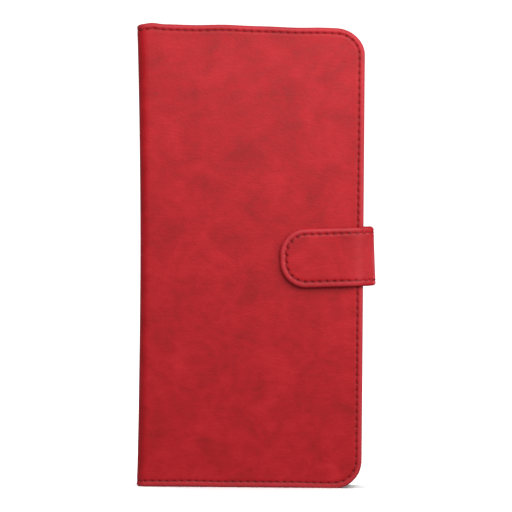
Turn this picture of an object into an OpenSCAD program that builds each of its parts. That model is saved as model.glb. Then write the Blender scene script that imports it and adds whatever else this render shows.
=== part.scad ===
// Phone wallet case: a leather book cover round a moulded phone tray, shut by a magnetic strap.
// It stands upright and shut. X runs from the spine to the strap, Y from the front cover to the
// back cover, and Z up the length of the case. The origin is the middle of its base.

/* [Covers] */
// Height of the covers
case_h = 166; // [164:1:180]
// Width from the outside of the spine to the fore-edge
case_w = 81; // [81:0.5:88]
// Radius of the covers' two corners at the fore-edge
corner_r = 10; // [6:0.5:14]
// Outside radius of the leather where a cover rolls round into the spine
roll_r = 3.2; // [2.8:0.1:4]

/* [Layers] */
// Thickness of the leather skin
skin_t = 0.8; // [0.6:0.1:1]
// Thickness of the stiffener board in each cover
board_t = 1; // [0.8:0.1:1.4]
// Thickness of the stiffener board in the spine
spine_board_t = 0.8; // [0.6:0.1:1]
// Thickness of the lining under the phone tray
back_lining_t = 0.6; // [0.4:0.1:0.8]
// Thickness of the lining in the front cover and the spine
lining_t = 0.4; // [0.3:0.1:0.6]
// Play between the pockets and the phone tray
shut_play = 0.4; // [0.3:0.1:1]

/* [Phone tray] */
// Width of the phone
phone_w = 75.5; // [73:0.5:75.5]
// Length of the phone
phone_h = 160.5; // [150:0.5:160.5]
// Thickness of the phone
phone_d = 8.2; // [7:0.1:10]
// Thickness of the tray's walls
tray_wall = 1.3; // [1:0.1:1.4]
// Thickness of the tray's base
tray_base = 1.2; // [0.8:0.1:1.6]
// Thickness of the lip that holds the phone in
lip_t = 0.8; // [0.6:0.1:1.2]
// How far the lip reaches over the phone's face
lip_reach = 1; // [0.6:0.1:1.6]
// Width of the camera window
camera_w = 30; // [18:1:34]
// Height of the camera window
camera_h = 36; // [18:1:44]

/* [Pockets] */
// Thickness of each pocket panel
panel_t = 0.6; // [0.5:0.1:0.8]
// Slack under each panel, which its sewn edges close
panel_gap = 0.15; // [0.1:0.05:0.2]
// Height of the card pockets
card_zone_h = 95; // [92:1:110]
// Step from one pocket's mouth to the next
pocket_step = 8; // [6:0.5:9]

/* [Strap] */
// Width of the strap
strap_w = 21.2; // [19:0.2:26]
// Thickness of the strap, its skin and lining together
strap_t = 2.2; // [1.8:0.2:2.6]
// How far the strap stands out past the fore-edge
strap_out = 4.5; // [4.5:0.1:6]
// Length of the tab that lies on the front cover
tab_reach = 30; // [26:1:40]
// Height of the strap's middle above the base
strap_z = 82.6; // [70:0.2:96]
// Diameter of the magnet in the tab
magnet_d = 14; // [10:1:15]

/* [Sewing] */
// Distance from a cover's edge to its row of stitches
seam_inset = 2.1; // [1.8:0.1:3]
// Width of a seam's thread
thread_w = 0.5; // [0.3:0.1:0.6]

/* [Hidden] */
$fn = 96;

LEATHER = "#b5262f";
LINING = "#8e1c24";
BOARD = "#6b6660";
THREAD = "#9c1820";
TPU = "#2b2b2d";
STEEL = "#c4c6c8";

over = 1;              // how far a cut runs past the face it opens
slit = 0.15;           // half the gap between two bodies' leather at a fold
fit = 0.1;             // clearance of an inlaid piece
groove = 0.3;          // depth of the groove that a thread lies in

// X stations
half_w = (case_w + strap_out) / 2;
spine_x = -half_w;
fore_x = spine_x + case_w;
roll_x = spine_x + roll_r;

// Y stations, from the front cover's face to the back cover's
card_pockets = 3;      // besides the full-length note pocket
panels_d = (card_pockets + 1) * (panel_t + panel_gap);
tray_d = tray_base + phone_d + lip_t;
back_stack = skin_t + board_t + back_lining_t;
front_stack = skin_t + board_t + lining_t;
case_d = front_stack + panels_d + shut_play + tray_d + back_stack;
strap_gap = 0.25;
back_y = (case_d + strap_gap + strap_t) / 2;
front_y = back_y - case_d;
strap_y = -back_y;
tray_back_y = back_y - back_stack;
tray_front_y = tray_back_y - tray_d;
board_front_y = front_y + skin_t;
lining_front_y = board_front_y + board_t;
pocket_y = lining_front_y + lining_t;

// Fold corners, as [x, y] of the middle of each roll
back_roll = [roll_x, back_y - roll_r];
front_roll = [roll_x, front_y + roll_r];

// Phone tray
tray_w = phone_w + 2 * tray_wall;
tray_h = phone_h + 2 * tray_wall;
tray_x = fore_x - 0.35 - tray_w / 2;
tray_z = case_h / 2;
phone_r = 10;
tray_r = phone_r + tray_wall;
camera_r = 8;
camera_x = tray_x + phone_w / 2 - camera_w / 2 - 4;
camera_z = tray_z + phone_h / 2 - camera_h / 2 - 5;
collar_t = 1.2;
window_gap = 0.2;
port_w = 13;
port_d = 6;
speaker_w = 14;
speaker_d = 2.4;
speaker_x = 21;
mic_w = 2.4;
mic_d = 1.4;
port_y = tray_back_y - tray_base - phone_d / 2;
key_w = 5;
key_gap = 0.2;
key_proud = 0.25;
volume_l = 22;
volume_z = 128;
power_l = 11;
power_z = 103;

// Pockets
mouth_x = roll_x + 2.5;
card_z = case_h / 2 - card_zone_h / 2;
edge_turn = 1.2;       // how far the pocket panels stay inside the cover's edge
sewn_w = 3;            // width of a panel's sewn edge
card_seam = 2;         // from a card pocket's end to its row of stitches

// Strap
strap_ply = strap_t / 2;
bend_r = 3.6;
root_t = board_t;
root_y = back_y - skin_t - root_t;
root_reach = 12;
strap_x = half_w;
bend_x = strap_x - bend_r;
root_bend = [bend_x, root_y + root_t / 2 + strap_t / 2 - bend_r];
tab_bend = [bend_x, strap_y + bend_r];
strap_low = strap_z - strap_w / 2;
tab_end_r = 9.3;
tab_x = fore_x - tab_reach;
tab_ply_y = strap_y + strap_ply;
magnet_t = 1;
magnet_x = tab_x + strap_w / 2 + 0.5;
keeper_d = 16;
keeper_t = 0.8;

// ---- Shapes used by several pieces ----

// Extrudes a drawing in X and Z across Y
module slab(y_low, y_high) {
    translate([0, y_high, 0]) rotate([90, 0, 0])
        linear_extrude(height = y_high - y_low) children();
}

// Extrudes a drawing in X and Y up Z
module column(z_low, z_high) {
    translate([0, 0, z_low]) linear_extrude(height = z_high - z_low) children();
}

// A rectangle given by its middle, with round corners
module round_rect(middle, w, h, r) {
    translate(middle) {
        square([w - 2 * r, h], center = true);
        square([w, h - 2 * r], center = true);
        for (sx = [-1, 1], sz = [-1, 1])
            translate([sx * (w / 2 - r), sz * (h / 2 - r)]) circle(r);
    }
}

// A cover's outline, drawn in by inset on three sides, and square at its spine side
module cover_outline(inset, left) {
    r = corner_r - inset;
    right = fore_x - inset;
    translate([left, inset]) square([right - r - left, case_h - 2 * inset]);
    translate([right - 2 * r, inset + r]) square([2 * r, case_h - 2 * inset - 2 * r]);
    for (z = [inset + r, case_h - inset - r])
        translate([right - r, z]) circle(r);
}

// Part of a ring of leather round a roll, between two angles less than 90 apart
module roll(middle, r_out, r_in, from, to) {
    reach = 2 * r_out;
    translate(middle) intersection() {
        difference() {
            circle(r_out);
            circle(r_in);
        }
        polygon([
            [0, 0],
            reach * [cos(from), sin(from)],
            reach * [cos((from + to) / 2), sin((from + to) / 2)],
            reach * [cos(to), sin(to)]
        ]);
    }
}

// The angle that half of a fold's slit takes at radius r
function slit_angle(r) = slit / r * 180 / PI;

// A seam's row, seen as a narrow band that follows a cover's edge on three sides
module seam_band(left, w) {
    difference() {
        cover_outline(seam_inset - w / 2, left);
        cover_outline(seam_inset + w / 2, left - over);
    }
}

// The tab's outline, with its round end towards the spine and its other end square
module tab_outline(inset, right) {
    r = tab_end_r - inset;
    low = strap_low + inset;
    high = strap_low + strap_w - inset;
    left = tab_x + inset;
    translate([left + r, low]) square([right - left - r, high - low]);
    translate([left, low + r]) square([2 * r, high - low - 2 * r]);
    for (z = [low + r, high - r])
        translate([left + r, z]) circle(r);
}

module camera_outline(grow) {
    round_rect([camera_x, camera_z], camera_w + 2 * grow, camera_h + 2 * grow, camera_r + grow);
}

// ---- Back cover ----

module back_skin() {
    a = slit_angle(roll_r);
    color(LEATHER) difference() {
        union() {
            slab(tray_back_y, back_y) cover_outline(0, roll_x);
            column(0, case_h) roll(back_roll, roll_r, roll_r - skin_t, 90, 135 - a);
        }
        slab(tray_back_y - over, back_y - skin_t) cover_outline(skin_t, roll_x - over);
        slab(back_y - skin_t - over, back_y + over) camera_outline(collar_t + window_gap);
        slab(back_y - groove, back_y + over) seam_band(roll_x - over, thread_w);
        strap_slot();
    }
}

// The slot in the fore-edge that the strap's root passes through
module strap_slot() {
    translate([fore_x - root_reach - fit, root_y, strap_low - fit])
        cube([root_reach + over, root_t, strap_w + 2 * fit]);
}

module back_board() {
    inset = skin_t + fit;
    color(BOARD) difference() {
        slab(back_y - skin_t - board_t, back_y - skin_t) cover_outline(inset, roll_x);
        slab(back_y - skin_t - board_t - over, back_y + over)
            camera_outline(collar_t + window_gap);
        strap_slot();
    }
}

module back_lining() {
    inset = skin_t + fit;
    color(LINING) difference() {
        slab(tray_back_y, tray_back_y + back_lining_t) cover_outline(inset, roll_x);
        slab(tray_back_y - over, back_y) camera_outline(collar_t + window_gap);
    }
}

module back_seam_thread() {
    color(THREAD) slab(back_y - groove, back_y) seam_band(roll_x, thread_w);
}

// ---- Phone tray and its keys ----

module phone_tray() {
    cavity_y = tray_front_y + lip_t;
    color(TPU) difference() {
        union() {
            slab(tray_front_y, tray_back_y) round_rect([tray_x, tray_z], tray_w, tray_h, tray_r);
            slab(tray_back_y - tray_base / 2, back_y - fit) camera_outline(collar_t);
        }
        slab(cavity_y, tray_back_y - tray_base)
            round_rect([tray_x, tray_z], phone_w, phone_h, phone_r);
        slab(tray_front_y - over, cavity_y + over)
            round_rect([tray_x, tray_z], phone_w - 2 * lip_reach, phone_h - 2 * lip_reach,
                       phone_r - lip_reach);
        slab(tray_back_y - tray_base - over, back_y + over) camera_outline(0);
        end_slot(tray_x, port_w, port_d, 0);
        end_slot(tray_x + speaker_x, speaker_w, speaker_d, 0);
        end_slot(tray_x - speaker_x, speaker_w, speaker_d, 0);
        end_slot(tray_x + speaker_x, mic_w, mic_d, tray_h - tray_wall);
        key_hole(volume_z, volume_l);
        key_hole(power_z, power_l);
    }
}

// A round-ended slot through one of the tray's end walls, rise above its lower edge
module end_slot(x, w, d, rise) {
    foot = tray_z - tray_h / 2 + rise;
    column(foot - over, foot + tray_wall + over) {
        translate([x, port_y]) square([w - d, d], center = true);
        for (s = [-1, 1])
            translate([x + s * (w - d) / 2, port_y]) circle(d / 2);
    }
}

// A key's outline in Y and Z, made solid along X
module key_bar(z, l, w, x_low, x_high) {
    translate([x_low, port_y, z]) rotate([90, 0, 90])
        linear_extrude(height = x_high - x_low) round_rect([0, 0], w, l, w / 2 - 0.3);
}

module key_hole(z, l) {
    wall_x = tray_x + phone_w / 2;
    key_bar(z, l + 2 * key_gap, key_w + 2 * key_gap, wall_x - over, wall_x + tray_wall + over);
}

module key(z, l) {
    wall_x = tray_x + phone_w / 2;
    key_bar(z, l, key_w, wall_x + 0.1, wall_x + tray_wall + key_proud);
}

module volume_key() {
    color(TPU) key(volume_z, volume_l);
}

module power_key() {
    color(TPU) key(power_z, power_l);
}

// ---- Spine ----

module spine_skin() {
    a = slit_angle(roll_r);
    rim_d = skin_t + spine_board_t + lining_t;
    color(LEATHER) {
        column(0, case_h) {
            translate([spine_x, front_roll[1]]) square([skin_t, back_roll[1] - front_roll[1]]);
            roll(back_roll, roll_r, roll_r - skin_t, 135 + a, 180);
            roll(front_roll, roll_r, roll_r - skin_t, 180, 225 - a);
        }
        for (z = [0, case_h - skin_t])
            translate([spine_x, front_roll[1], z])
                cube([rim_d, back_roll[1] - front_roll[1], skin_t]);
    }
}

// A flat layer of the spine, between its turned ends
module spine_layer(x_low, t) {
    inset = skin_t + fit;
    translate([x_low, front_roll[1], inset])
        cube([t, back_roll[1] - front_roll[1], case_h - 2 * inset]);
}

module spine_board() {
    color(BOARD) spine_layer(spine_x + skin_t, spine_board_t);
}

module spine_lining() {
    color(LINING) spine_layer(spine_x + skin_t + spine_board_t, lining_t);
}

// ---- Front cover ----

module front_skin() {
    a = slit_angle(roll_r);
    color(LEATHER) difference() {
        union() {
            slab(front_y, pocket_y) cover_outline(0, roll_x);
            column(0, case_h) roll(front_roll, roll_r, roll_r - skin_t, 225 + a, 270);
        }
        slab(board_front_y, pocket_y + over) cover_outline(skin_t, roll_x - over);
        slab(front_y - over, front_y + groove) seam_band(roll_x - over, thread_w);
    }
}

module front_board() {
    color(BOARD) difference() {
        slab(board_front_y, lining_front_y) cover_outline(skin_t + fit, roll_x);
        slab(board_front_y - over, board_front_y + keeper_t)
            translate([magnet_x, strap_z]) circle(d = keeper_d + 2 * fit);
    }
}

module keeper_disc() {
    color(STEEL) slab(board_front_y, board_front_y + keeper_t)
        translate([magnet_x, strap_z]) circle(d = keeper_d);
}

module front_lining() {
    color(LINING) slab(lining_front_y, pocket_y) cover_outline(skin_t + fit, roll_x);
}

module front_seam_thread() {
    color(THREAD) slab(front_y, front_y + groove) seam_band(roll_x, thread_w);
}

// ---- Pockets, on the inside of the front cover ----

// Where pocket panel n starts in Y, with 0 for the note pocket
function panel_y(n) = pocket_y + n * (panel_t + panel_gap) + panel_gap;

// Where pocket panel n's mouth is in X
function panel_mouth(n) = mouth_x + n * pocket_step;

module note_pocket() {
    y = panel_y(0);
    color(LINING) {
        slab(y, y + panel_t) cover_outline(edge_turn, mouth_x);
        slab(y - panel_gap, y) difference() {
            cover_outline(edge_turn, mouth_x);
            cover_outline(edge_turn + sewn_w, mouth_x - over);
        }
    }
}

// Card pocket n, open towards the spine and sewn round its other three edges
module card_pocket(n) {
    y = panel_y(n);
    left = panel_mouth(n);
    w = fore_x - edge_turn - left;
    color(LINING) difference() {
        slab(y - panel_gap, y + panel_t)
            translate([left, card_z]) square([w, card_zone_h]);
        slab(y - panel_gap - over, y)
            translate([left - over, card_z + sewn_w])
                square([w - sewn_w + over, card_zone_h - 2 * sewn_w]);
        pocket_seam(n, over);
    }
}

module card_pocket_1() {
    card_pocket(1);
}

module card_pocket_2() {
    card_pocket(2);
}

module card_pocket_3() {
    card_pocket(3);
}

// The stretch of the two pocket seams that lies on panel n, or its groove if proud is over 0
module pocket_seam(n, proud) {
    left = panel_mouth(n) - proud;
    right = n < card_pockets ? panel_mouth(n + 1) : fore_x - edge_turn - sewn_w;
    top_y = panel_y(n) + panel_t;
    slab(top_y - groove, top_y + proud)
        for (z = [card_z + card_seam, card_z + card_zone_h - card_seam])
            translate([left, z - thread_w / 2]) square([right - left, thread_w]);
}

module pocket_seam_thread() {
    color(THREAD) for (n = [1:card_pockets])
        pocket_seam(n, 0);
}

// ---- Strap ----

// The strap's root: a tongue sewn into the back cover, and the stub that bends to the bridge
module strap_root() {
    a = slit_angle(bend_r);
    stub_x = fore_x + 0.2;
    outer_y = root_bend[1] + bend_r;
    color(LEATHER) {
        translate([fore_x - root_reach, root_y, strap_low])
            cube([root_reach + 0.2, root_t, strap_w]);
        translate([stub_x, outer_y - strap_t, strap_low])
            cube([bend_x - stub_x, strap_t, strap_w]);
        column(strap_low, strap_low + strap_w)
            roll(root_bend, bend_r, bend_r - strap_t, 45 + a, 90);
    }
}

// One ply of the strap's bridge past the fore-edge, between two radii of its bends
module bridge_ply(r_out, r_in) {
    a = slit_angle(bend_r);
    column(strap_low, strap_low + strap_w) {
        translate([bend_x + r_in, tab_bend[1]])
            square([r_out - r_in, root_bend[1] - tab_bend[1]]);
        roll(root_bend, r_out, r_in, 0, 45 - a);
        roll(tab_bend, r_out, r_in, -45 + a, 0);
    }
}

module strap_bridge_skin() {
    color(LEATHER) bridge_ply(bend_r, bend_r - strap_ply);
}

module strap_bridge_lining() {
    color(LINING) bridge_ply(bend_r - strap_ply, bend_r - strap_t);
}

// One ply of the strap's tab, flat over the front cover and round its half of the bend
module tab_ply(y_low, y_high) {
    a = slit_angle(bend_r);
    slab(y_low, y_high) tab_outline(0, bend_x);
    column(strap_low, strap_low + strap_w)
        roll(tab_bend, tab_bend[1] - y_low, tab_bend[1] - y_high, -90, -45 - a);
}

module magnet_disc(grow) {
    slab(tab_ply_y - magnet_t / 2, tab_ply_y + magnet_t / 2)
        translate([magnet_x, strap_z]) circle(d = magnet_d + grow);
}

module strap_tab_skin() {
    color(LEATHER) difference() {
        tab_ply(strap_y, tab_ply_y);
        magnet_disc(2 * fit);
        slab(strap_y - over, strap_y + groove) tab_seam();
    }
}

module strap_tab_lining() {
    color(LINING) difference() {
        tab_ply(tab_ply_y, strap_y + strap_t);
        magnet_disc(2 * fit);
    }
}

module strap_magnet() {
    color(STEEL) magnet_disc(0);
}

// The tab's row of stitches, along both edges and round the end
module tab_seam() {
    difference() {
        tab_outline(seam_inset - thread_w / 2, bend_x);
        tab_outline(seam_inset + thread_w / 2, bend_x + over);
    }
}

module strap_seam_thread() {
    color(THREAD) slab(strap_y, strap_y + groove) tab_seam();
}

back_skin();
back_board();
back_lining();
phone_tray();
back_seam_thread();
volume_key();
power_key();
spine_skin();
spine_board();
spine_lining();
front_skin();
front_board();
front_lining();
keeper_disc();
front_seam_thread();
note_pocket();
card_pocket_1();
card_pocket_2();
card_pocket_3();
pocket_seam_thread();
strap_root();
strap_bridge_skin();
strap_bridge_lining();
strap_tab_skin();
strap_tab_lining();
strap_magnet();
strap_seam_thread();
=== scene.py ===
"""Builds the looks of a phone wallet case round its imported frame: leather, lining, pockets and stitches."""

import math

import bmesh
import bpy
import numpy as np
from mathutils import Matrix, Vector


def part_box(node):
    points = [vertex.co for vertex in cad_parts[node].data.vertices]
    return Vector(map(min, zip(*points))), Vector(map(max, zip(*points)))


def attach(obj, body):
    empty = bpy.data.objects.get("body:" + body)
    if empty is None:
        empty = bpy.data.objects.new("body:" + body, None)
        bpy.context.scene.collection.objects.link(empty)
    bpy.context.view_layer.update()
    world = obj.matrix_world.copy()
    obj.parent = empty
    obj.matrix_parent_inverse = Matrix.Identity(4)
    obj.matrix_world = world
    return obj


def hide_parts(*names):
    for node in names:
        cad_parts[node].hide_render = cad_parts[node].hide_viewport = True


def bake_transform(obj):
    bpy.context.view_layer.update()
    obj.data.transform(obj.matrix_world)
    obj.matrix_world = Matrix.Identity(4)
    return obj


bl_info = {
    "name": "Phone wallet case",
    "version": (1, 0, 0),
    "blender": (4, 5, 0),
    "location": "3D View > Sidebar > Wallet case",
    "description": "Builds a leather phone wallet case round its packed frame",
    "category": "Add Mesh",
}

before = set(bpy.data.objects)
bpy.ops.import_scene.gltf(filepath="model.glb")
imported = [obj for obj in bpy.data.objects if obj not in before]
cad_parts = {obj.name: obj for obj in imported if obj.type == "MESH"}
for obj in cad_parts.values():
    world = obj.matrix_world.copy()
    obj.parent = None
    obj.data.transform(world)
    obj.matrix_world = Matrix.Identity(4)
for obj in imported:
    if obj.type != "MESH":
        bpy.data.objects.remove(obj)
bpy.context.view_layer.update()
MM = 0.001

# ---- Places, from the frame ----

FRONT_LOW, FRONT_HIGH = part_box("front_skin")
BACK_LOW, BACK_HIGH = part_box("back_skin")
TAB_LOW, TAB_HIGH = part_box("strap_tab_skin")
ROOT_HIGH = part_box("strap_root")[1]
MAGNET_LOW, MAGNET_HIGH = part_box("strap_magnet")

SPINE_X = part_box("spine_skin")[0].x
SPINE_INNER_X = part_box("spine_lining")[1].x
ROLL_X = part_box("front_board")[0].x
FORE_X = FRONT_HIGH.x
CASE_H = FRONT_HIGH.z
FRONT_Y = FRONT_LOW.y
BACK_Y = BACK_HIGH.y
STRAP_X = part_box("strap_bridge_skin")[1].x
STRAP_LOW_Z = TAB_LOW.z
STRAP_HIGH_Z = TAB_HIGH.z
STRAP_Z = (STRAP_LOW_Z + STRAP_HIGH_Z) / 2
MAGNET_MIDDLE = (MAGNET_LOW + MAGNET_HIGH) / 2

ROLL_R = ROLL_X - SPINE_X
STRAP_T = 2 * (MAGNET_MIDDLE.y - TAB_LOW.y)
SPINE_T = SPINE_INNER_X - SPINE_X


# ---- Shapes of this case that the frame leaves plain ----

CORNER_R = 10 * MM  # the covers' corners
BEND_R = 3.6 * MM  # the strap's two bends
TAB_END_R = 9.3 * MM  # the round end of the tab
TAB_SHORT = 0.4 * MM  # how far the tab's end stops before the frame's
ROOT_REACH = 8 * MM  # how far the strap's root goes in under the back cover
ROOT_END_R = 5 * MM
STRAP_LEAN = 0.043  # slope of the turned bridge, sideways for each step up
TAB_SLOPE = 0.036  # slope of the turned tab, down for each step along
STRAP_RAISED = 1.2 * MM  # how much higher than the frame's the strap was sewn
STRAP_TIGHT = 0.45 * MM  # how much closer its bridge is pulled than the frame's
WINDOW_R = 9.2 * MM  # the corners of the tray's collar
GUTTER_T = 1.35 * MM  # leather and lining together, where there is no board
HEM = 0.75 * MM  # how far the turned edge shows past its round, on the inside
LINING_T = 0.3 * MM
POCKET_T = 0.6 * MM
POCKET_R = 1 * MM  # the pockets' corners by the spine
COVER_HOLE = 0.36 * MM  # needle holes
STRAP_HOLE = 0.42 * MM

# ---- Camera ----

SENSOR = 36  # millimetres, as Blender gives a sensor's width
CAMERA_X = -0.4 * MM
CAMERA_Z = CASE_H / 2 + 0.25 * MM

# ---- How fine the meshes are ----

COARSE = 4  # how many steps of a sheet's edge make one cell of its middle
GUTTER_CELLS = 6
FOLD_ANGLE = 50  # edges that turn by more degrees than this are shaded sharp


# ---- Settings a user would change ----

def millimetres(name, description, default):
    """A length setting, given in millimetres."""
    return bpy.props.FloatProperty(
        name=name, description=description, default=default * MM, unit="LENGTH", precision=5)


def colour(name, description, code):
    """A colour setting, given as an sRGB hex value."""
    return bpy.props.FloatVectorProperty(
        name=name, description=description, default=linear(code), subtype="COLOR", size=3)


def linear(code):
    """An sRGB hex value as linear red, green and blue."""
    parts = [int(code[i:i + 2], 16) / 255 for i in (1, 3, 5)]
    return tuple(p / 12.92 if p <= 0.04045 else ((p + 0.055) / 1.055) ** 2.4 for p in parts)


class LeatherSettings(bpy.types.PropertyGroup):
    """Colours and sizes of the leather and its lining."""
    base: colour("Leather", "Colour of the leather's finish", "#B40F1B")
    light: colour("Pulled leather", "Colour where the waxy finish is stretched or rubbed", "#C41A25")
    # Bent leather: partly the finish going lighter where stretched, partly a painted highlight, along the
    # edges, over the strap's bend and at the pockets' mouths.
    pulled_and_highlight: colour("Bent leather", "Colour where the leather is bent or rubbed hard", "#E2525C")
    # The deep colour also paints shade along the rows of stitches and the pockets' creases.
    dark: colour("Deep leather", "Colour where the finish lies thickest", "#A00D15")
    # This colour is painted shade down in the needle holes.
    seam_shade: colour("Groove", "Colour down in the seams and needle holes", "#74080F")
    lining: colour("Lining", "Colour of the microfibre lining", "#9A222A")
    tray: colour("Tray", "Colour of the tray's TPU", "#232326")
    cloud: millimetres("Cloud size", "Size of the soft clouds in the finish", 13)
    pebble: millimetres("Pebble size", "Size of the embossed grain", 0.75)
    sheet: millimetres("Leather thickness", "Thickness of the leather's solid", 0.45)
    rim: millimetres("Rim", "How far in from an edge the leather starts to round over", 0.9)


class SeamSettings(bpy.types.PropertyGroup):
    """Sizes of the stitching."""
    pitch: millimetres("Pitch", "Distance between needle holes", 2.65)
    inset: millimetres("Inset", "Distance from an edge to its row of stitches", 2.1)
    thread: millimetres("Thread", "Thickness of the thread", 0.5)
    slant: millimetres("Slant", "How far each stitch leans across its row", 0.16)
    thread_colour: colour("Thread colour", "Colour of the polyester thread", "#8E1620")


class StageSettings(bpy.types.PropertyGroup):
    """The camera and the studio."""
    distance: millimetres("Camera distance", "From the front cover to the camera", 1100)
    frame_height: millimetres("View height", "Height that the view takes in at the front cover", 184.1)
    roll: bpy.props.FloatProperty(
        name="Roll", description="How far the camera is turned about its own line of sight",
        default=math.radians(-0.45), subtype="ANGLE")
    floor_colour: colour("Floor", "Colour of the floor and backdrop", "#F4F4F4")


# ---- Shapes ----

def smooth(x, low, high):
    """0 at low, 1 at high and a soft S between them."""
    t = np.clip((np.asarray(x, float) - low) / (high - low), 0, 1)
    return t * t * (3 - 2 * t)


def hill(x, middle, width):
    """1 at the middle, falling away on both sides."""
    return np.exp(-((np.asarray(x, float) - middle) / width) ** 2)


class Fold:
    """Leather that runs along Y, rolls round a quarter circle and runs on along X.

    Its run starts at the middle of the stretch along Y, and its depth goes in from its outer face."""

    def __init__(self, outer_x, hand, middle_y, side, half, radius):
        """The stretch along Y is at outer_x. hand is the rest's way along X, and side the run's along Y."""
        self.outer_x = outer_x
        self.hand = hand
        self.middle_y = middle_y
        self.side = side
        self.half = half
        self.radius = radius
        self.flat_from = half + radius * math.pi / 2

    def place(self, run, depth, z):
        """Where a flat point is in space."""
        turn = np.clip((run - self.half) / self.radius, 0, math.pi / 2)
        after = np.maximum(run - self.flat_from, 0)
        inner = self.radius - depth
        x = self.outer_x + self.hand * (self.radius - inner * np.cos(turn) + after)
        y = self.middle_y + self.side * (np.minimum(run, self.half) + inner * np.sin(turn))
        return np.stack([x, y, np.broadcast_to(z, x.shape)], axis=-1)


class CoverFold(Fold):
    """The skin from the middle of the spine, round the roll and over one cover."""

    def __init__(self, side, face_y, thickness):
        """side is -1 for the front cover and 1 for the back one."""
        middle_y = (FRONT_Y + BACK_Y) / 2
        half = abs(face_y - middle_y) - ROLL_R
        super().__init__(SPINE_X, 1, middle_y, side, half, ROLL_R)
        self.thickness = thickness
        self.length = self.flat_from + FORE_X - ROLL_X
        self.border = Border(self.length, 0, CASE_H, CORNER_R)

    def crowd(self, run, step):
        """Moves an even grid's upright lines together in the gutter, with one at the edge of each board."""
        cells = round(self.length / step / COARSE)
        cell = (self.length - (1 - math.pi / 4) * self.border.corner) / cells
        to_gutter = max(1, round(self.half / cell))
        far = self.border.straight - 2 * MM
        even = (0, to_gutter * cell, (to_gutter + GUTTER_CELLS) * cell, far, self.length)
        return np.interp(run, even, (0, self.half, self.flat_from + 0.2 * MM, far, self.length))

    def pull(self, run):
        """How far the leather is lightened by its bend, partly a stretched finish and partly a painted
        highlight: on the covers, not at all.
        """
        return np.zeros(np.shape(run))

    def inner(self, run):
        """Depth of the lining's face: thin in the gutters, where the skin has no board."""
        into = smooth(run, self.half + 0.1 * MM, self.half + 1.5 * MM)
        out = smooth(run, self.flat_from - 2.0 * MM, self.flat_from - 0.4 * MM)
        return SPINE_T + (GUTTER_T - SPINE_T) * into + (self.thickness - GUTTER_T) * out

    def place(self, run, depth, z):
        """The spine draws in just below its middle and flares at its ends, more at the top."""
        up = (z - CASE_H / 2) / (CASE_H / 2)
        flare = (1.1 * up ** 2 + 0.1 * up ** 8 + 0.6 * up - 0.6) * MM
        by_spine = 1 - smooth(run, self.half + 1.5 * MM, self.flat_from + 5 * MM)
        points = super().place(run, depth, z - self.drop(run, z))
        points[..., 0] -= flare * by_spine
        return points

    def drop(self, run, z):
        """How far the ends' edges are below a straight line.

        They kink over the hinge, are a little wavy and hang lower towards the corner."""
        top = smooth(z, CASE_H - 14 * MM, CASE_H - 2 * MM)
        kink = 0.5 * MM * hill(run, self.flat_from + 1.6 * MM, 2.3 * MM)
        kink -= 0.25 * MM * (1 - smooth(run, self.half, self.half + 4 * MM))
        wave = 0.1 * MM * np.sin(run / (5.3 * MM)) + 0.07 * MM * np.sin(run / (2.9 * MM) + 1.3)
        bottom = 1 - smooth(z, 2 * MM, 14 * MM)
        wave = wave * smooth(run, self.half, self.flat_from + 6 * MM)
        outwards = smooth(run, self.flat_from + 15 * MM, self.length)
        sag = (1.05 * outwards - 0.4) * MM * top + 0.25 * MM * bottom * outwards
        return sag + bottom * 0.6 * wave - top * (kink + wave)


class StrapFold(Fold):
    """The strap from the middle of its bridge, round one bend and on along its tab or root."""

    def __init__(self, side, face_y, end_x, end_radius, slope, pinch, lead):
        """side is -1 for the tab and 1 for the root. pinch thins the root, and lead softens a bend."""
        middle_y = (TAB_LOW.y + ROOT_HIGH.y) / 2
        half = abs(face_y - middle_y) - BEND_R
        super().__init__(STRAP_X, -1, middle_y, side, half, BEND_R)
        self.slope = slope
        self.pinch = pinch
        self.lead = lead
        self.length = self.flat_from + STRAP_X - BEND_R - end_x
        self.border = Border(self.length, STRAP_LOW_Z, STRAP_HIGH_Z, end_radius)

    def crowd(self, run, step):
        """The strap's grid stays even."""
        return run

    def pull(self, run):
        """How far the leather is lightened at the strap's bend: partly a stretched finish going lighter,
        partly a painted highlight.
        """
        return hill(run, self.flat_from - 2 * MM, 3.6 * MM)

    def inner(self, run):
        """Depth of the strap's inner face."""
        return np.full(np.shape(run), STRAP_T)

    def place(self, run, depth, z):
        """The tab lies a little turned and leads softly into its bend, and the root is pinched."""
        thinner = 1 - self.pinch * smooth(run, self.flat_from - 2.5 * MM, self.flat_from + 1 * MM)
        depth = STRAP_T / 2 + (depth - STRAP_T / 2) * thinner
        rising = smooth(run, self.half, self.flat_from)
        lead_in = rising * (1 - smooth(run, self.flat_from, self.flat_from + 7 * MM))
        depth = depth + self.lead * lead_in * (1 - depth / STRAP_T)
        points = super().place(run, depth, z - self.drop(run, z))
        share = 1 if self.slope else 1 - rising
        points[..., 0] -= (STRAP_LEAN * (z - STRAP_Z) + STRAP_TIGHT) * share
        return points

    def drop(self, run, z):
        """The tab slopes down from its bridge, which was sewn a little high."""
        return self.slope * run - STRAP_RAISED


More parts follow.
